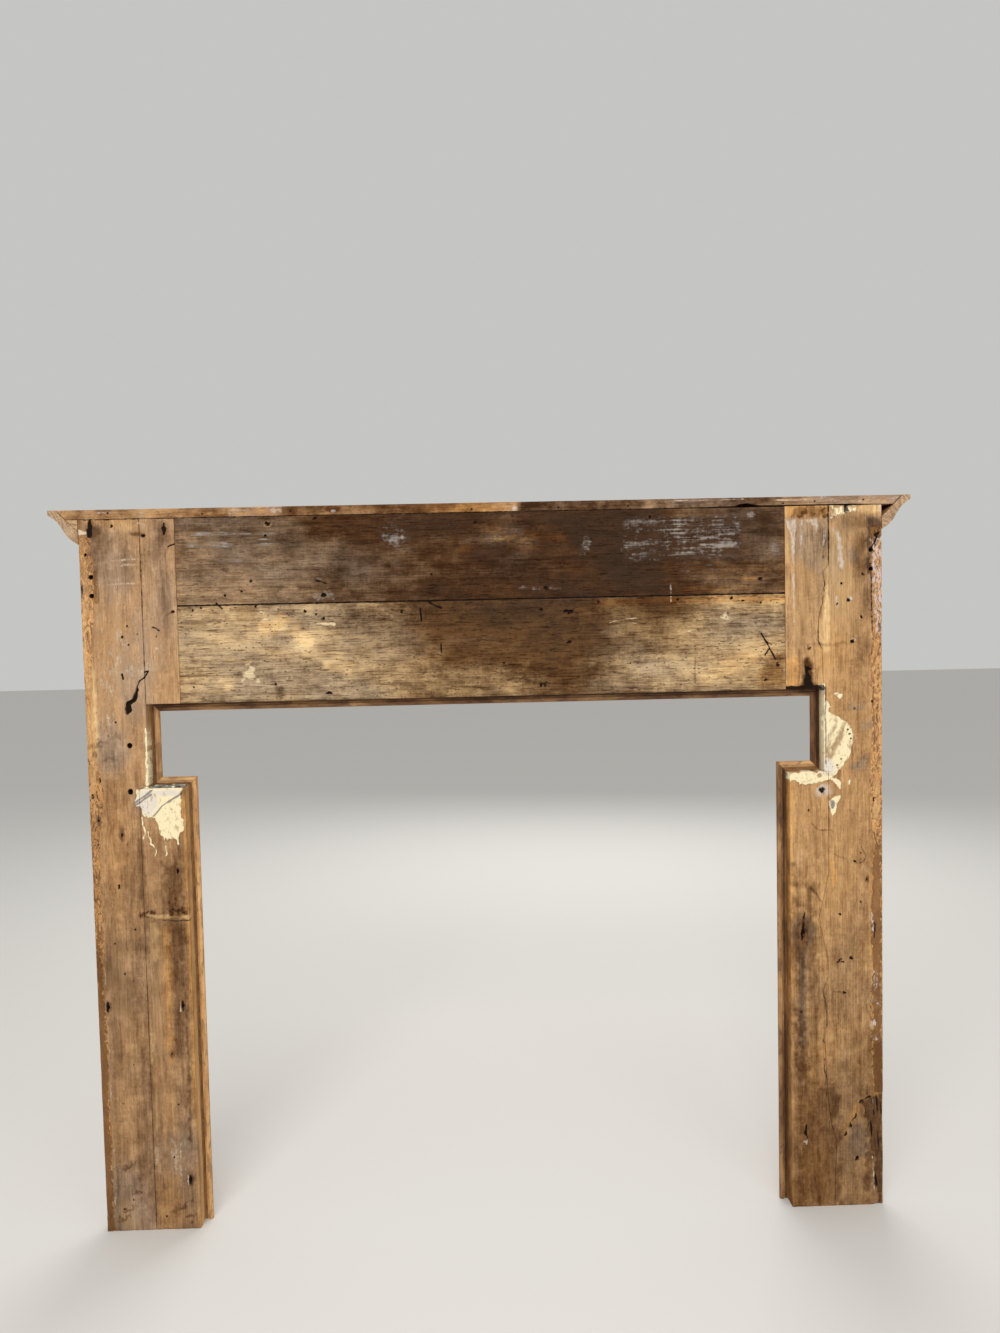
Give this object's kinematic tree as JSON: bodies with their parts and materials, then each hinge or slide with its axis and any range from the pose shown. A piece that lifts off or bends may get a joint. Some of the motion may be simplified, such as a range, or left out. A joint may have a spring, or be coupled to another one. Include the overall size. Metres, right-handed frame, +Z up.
{
  "type": "fireplace surround",
  "caption": "Stripped pine fireplace surround with boarded legs and frieze, shelf, sprung cornice and an eared architrave round the fire opening.",
  "frame": {"origin": "on the floor, at the middle of the whole surround's box", "axes": "+X along the wall, to the right as the pictured rear face is seen; +Y out of the wall, towards the room, so the rear face looks along -Y; +Z up"},
  "size_m": [1.484, 0.077, 1.2673],
  "materials": {
    "board_pine": "bare old pine, stripped, stained and marked, matt",
    "sooty_pine": "bare old pine darkened by soot and damp, matt",
    "moulding_pine": "stripped ochre pine, lightly waxed, low sheen",
    "shelf_pine": "old pine edge, brown, low sheen",
    "glue_block_pine": "pale sawn pine, matt"
  },
  "bodies": {
    "root": {"shelf_board": "shelf_pine", "cornice_front": "moulding_pine", "cornice_return_left": "moulding_pine", "cornice_return_right": "moulding_pine", "cornice_block_left": "glue_block_pine", "frieze_board_upper": "sooty_pine", "frieze_board_lower": "sooty_pine", "frieze_stile_left": "board_pine", "frieze_stile_right": "board_pine", "jamb_board_outer_left": "board_pine", "jamb_board_outer_right": "board_pine", "jamb_board_inner_left": "board_pine", "jamb_board_inner_right": "board_pine", "architrave_head": "moulding_pine", "architrave_upper_left": "moulding_pine", "architrave_upper_right": "moulding_pine", "architrave_step_left": "moulding_pine", "architrave_step_right": "moulding_pine", "architrave_lower_left": "moulding_pine", "architrave_lower_right": "moulding_pine"}
  },
  "joints": []
}
